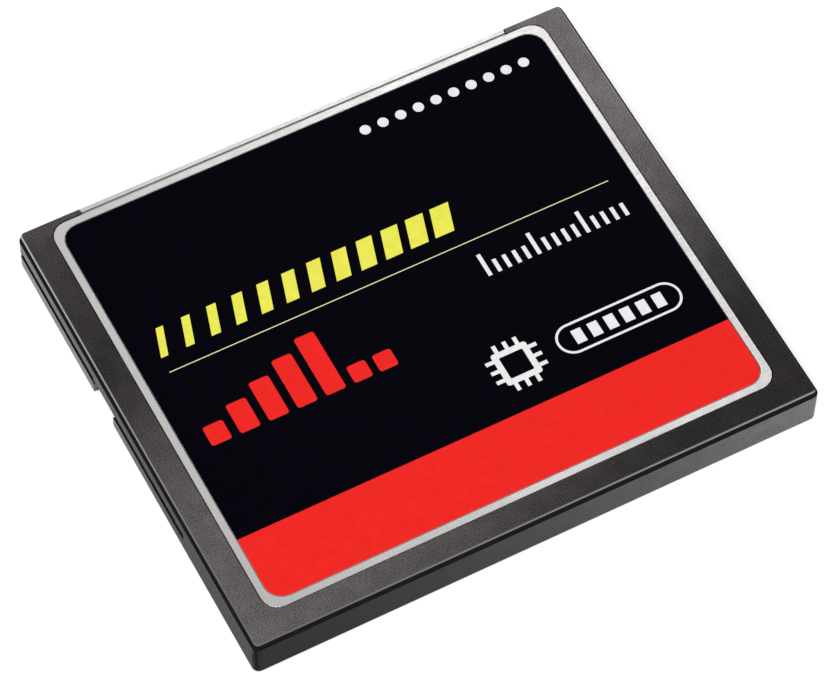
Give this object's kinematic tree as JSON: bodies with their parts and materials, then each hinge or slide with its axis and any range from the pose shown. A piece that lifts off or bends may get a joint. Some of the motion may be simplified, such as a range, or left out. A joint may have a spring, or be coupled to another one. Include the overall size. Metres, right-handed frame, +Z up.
{
  "type": "compact flash card",
  "caption": "Flat memory card with a moulded frame, steel covers, a plain printed label, side guide grooves and a two-row socket along one edge.",
  "frame": {"origin": "centre of the underside, on the surface that the card rests on", "axes": "+X across the card's width with the label upright, +Y towards the socket end, +Z up through the label"},
  "size_m": [0.0428, 0.0364, 0.0033],
  "materials": {
    "frame_plastic": "fine sandblasted mould texture, smooth edge chamfer",
    "cover_steel": "satin stainless sheet",
    "label_film": "printed film, black field with a red band and plain shapes in yellow, red and white",
    "socket_plastic": "moulded, with plated contact strips",
    "board_laminate": "solder-masked laminate",
    "package_epoxy": "moulded epoxy",
    "crystal_can": "plated lid",
    "capacitor_ceramic": "fired ceramic with tinned ends",
    "resistor_glaze": "glazed top with tinned pads"
  },
  "bodies": {
    "root": {"frame": "frame_plastic", "top_cover": "cover_steel", "bottom_cover": "cover_steel", "front_label": "label_film", "connector_housing": "socket_plastic", "circuit_board": "board_laminate", "controller": "package_epoxy", "flash_package_1": "package_epoxy", "flash_package_2": "package_epoxy", "flash_package_3": "package_epoxy", "regulator": "package_epoxy", "crystal": "crystal_can", "capacitor_1": "capacitor_ceramic", "capacitor_2": "capacitor_ceramic", "capacitor_3": "capacitor_ceramic", "capacitor_4": "capacitor_ceramic", "capacitor_5": "capacitor_ceramic", "capacitor_6": "capacitor_ceramic", "capacitor_7": "capacitor_ceramic", "capacitor_8": "capacitor_ceramic", "capacitor_9": "capacitor_ceramic", "capacitor_10": "capacitor_ceramic", "resistor_array_1": "resistor_glaze", "resistor_array_2": "resistor_glaze", "resistor_array_3": "resistor_glaze", "resistor_array_4": "resistor_glaze", "resistor_array_5": "resistor_glaze", "resistor_array_6": "resistor_glaze", "resistor_array_7": "resistor_glaze", "resistor_array_8": "resistor_glaze"}
  },
  "joints": []
}
